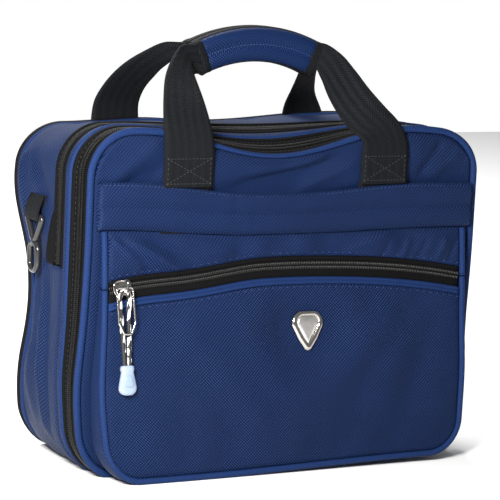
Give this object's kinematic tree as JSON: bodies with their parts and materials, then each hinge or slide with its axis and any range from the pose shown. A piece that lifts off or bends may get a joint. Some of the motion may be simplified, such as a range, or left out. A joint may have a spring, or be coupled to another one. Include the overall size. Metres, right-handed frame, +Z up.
{
  "type": "flight bag",
  "caption": "Soft-sided navy briefcase-style flight bag with zipped compartments, an expander, a front pocket, padded carry handles and side rings for a strap.",
  "frame": {"origin": "on the surface that the bag stands on, midway across its width and midway between the rear panel and the front panel", "axes": "+Z up, +X along the bag's width, the front pocket faces -Y"},
  "size_m": [0.429, 0.1862, 0.4035],
  "materials": {
    "navy_fabric": "satin twill weave",
    "black_zip_tape": "woven tape with a nylon coil",
    "navy_piping": "ribbed binding",
    "black_webbing": "herringbone webbing",
    "padded_grip": "padded twill with black binding",
    "lining_fabric": "plain lining",
    "stiffener_board": "matte sheet",
    "black_moulding": "glossy moulded nylon",
    "nickel": "polished nickel",
    "satin_nickel": "satin nickel",
    "flecked_cord": "braided, dark with light flecks",
    "clear_tip": "milky soft moulding"
  },
  "bodies": {
    "rear_section": {"rear_piping": "black_zip_tape", "rear_panel": "navy_fabric", "main_gusset": "navy_fabric", "rear_board": "stiffener_board", "laptop_sleeve": "lining_fabric", "bottom_board": "stiffener_board", "main_zip_rear": "black_zip_tape", "lower_gusset": "navy_fabric", "rear_handle_anchors": "black_webbing", "rear_band": "navy_fabric", "ring_tab_left": "black_webbing", "ring_tab_right": "black_webbing"},
    "middle_ring": {"main_zip_front": "black_zip_tape", "middle_strip": "navy_fabric", "middle_piping": "navy_piping", "expander_zip_rear": "black_zip_tape", "expansion_gusset": "navy_fabric"},
    "front_section": {"expander_zip_front": "black_zip_tape", "front_piping": "navy_piping", "front_panel": "navy_fabric", "front_board": "stiffener_board", "organizer_panel": "lining_fabric", "pen_loops": "lining_fabric", "front_handle_anchors": "black_webbing", "front_band": "navy_fabric", "pocket_gusset": "navy_fabric", "pocket_header": "navy_fabric", "header_piping": "navy_piping", "pocket_zip_upper": "black_zip_tape"},
    "pocket_panel": {"pocket_front": "navy_fabric", "pocket_zip_lower": "black_zip_tape", "pocket_zip_welt": "navy_piping", "pocket_piping": "navy_piping", "badge_bezel": "nickel", "badge_plate": "satin_nickel"},
    "front_handle": {"front_handle_webbing": "black_webbing", "front_grip": "padded_grip"},
    "rear_handle": {"rear_handle_webbing": "black_webbing", "rear_grip": "padded_grip"},
    "strap_ring_left": {"strap_ring_left": "black_moulding"},
    "strap_ring_right": {"strap_ring_right": "black_moulding"},
    "main_zip_slider": {"main_zip_slider": "nickel"},
    "main_zip_pull": {"main_zip_pull_link": "nickel", "main_zip_pull_cord": "flecked_cord", "main_zip_pull_tip": "clear_tip"},
    "expander_zip_slider": {"expander_zip_slider": "nickel"},
    "expander_zip_pull": {"expander_zip_pull_link": "nickel", "expander_zip_pull_cord": "flecked_cord", "expander_zip_pull_tip": "clear_tip"},
    "pocket_zip_slider": {"pocket_zip_slider": "nickel"},
    "pocket_zip_pull": {"pocket_zip_pull_link": "nickel", "pocket_zip_pull_cord": "flecked_cord", "pocket_zip_pull_tip": "clear_tip"}
  },
  "joints": [
    {"name": "main_open", "type": "hinge", "parent": "rear_section", "child": "middle_ring", "pos_m": [0, -0.033, 0], "axis": [1, 0, 0], "range_deg": [0, 12], "deforming": ["lower_gusset"]},
    {"name": "expander_slide", "type": "slide", "parent": "middle_ring", "child": "front_section", "axis": [0, -1, 0], "range_m": [0, 0.036], "deforming": ["expansion_gusset"]},
    {"name": "pocket_open", "type": "hinge", "parent": "front_section", "child": "pocket_panel", "pos_m": [0, -0.104, 0], "axis": [1, 0, 0], "range_deg": [0, 5], "deforming": ["pocket_gusset"]},
    {"name": "front_handle_swing", "type": "hinge", "parent": "front_section", "child": "front_handle", "pos_m": [0, -0.0767, 0.2926], "axis": [1, 0, 0], "range_deg": [0, 120]},
    {"name": "rear_handle_swing", "type": "hinge", "parent": "rear_section", "child": "rear_handle", "pos_m": [0, 0.0767, 0.2926], "axis": [-1, 0, 0], "range_deg": [0, 120]},
    {"name": "strap_ring_left_swing", "type": "hinge", "parent": "rear_section", "child": "strap_ring_left", "pos_m": [-0.2074, 0.022, 0.227], "axis": [0, 1, 0], "range_deg": [0, 150]},
    {"name": "strap_ring_right_swing", "type": "hinge", "parent": "rear_section", "child": "strap_ring_right", "pos_m": [0.2074, 0.022, 0.227], "axis": [0, -1, 0], "range_deg": [0, 150]},
    {"name": "main_zip_travel", "type": "slide", "parent": "rear_section", "child": "main_zip_slider", "axis": [0, 0, 1], "range_m": [0, 0.06]},
    {"name": "main_zip_pull_swing", "type": "hinge", "parent": "main_zip_slider", "child": "main_zip_pull", "pos_m": [0.2097, -0.023, 0.2], "axis": [0, -1, 0], "range_deg": [0, 120]},
    {"name": "expander_zip_travel", "type": "slide", "parent": "middle_ring", "child": "expander_zip_slider", "axis": [0, 0, 1], "range_m": [-0.03, 0.13]},
    {"name": "expander_zip_pull_swing", "type": "hinge", "parent": "expander_zip_slider", "child": "expander_zip_pull", "pos_m": [0.2097, -0.057, 0.13], "axis": [0, -1, 0], "range_deg": [0, 120]},
    {"name": "pocket_zip_travel", "type": "hinge", "parent": "pocket_panel", "child": "pocket_zip_slider", "pos_m": [0, -0.21652, -0.80063], "axis": [0, 0.9903, -0.1392], "range_deg": [0, 19]},
    {"name": "pocket_zip_pull_swing", "type": "hinge", "parent": "pocket_zip_slider", "child": "pocket_zip_pull", "pos_m": [-0.168, -0.08834, 0.17683], "axis": [-1, 0, 0], "range_deg": [0, 120]}
  ]
}
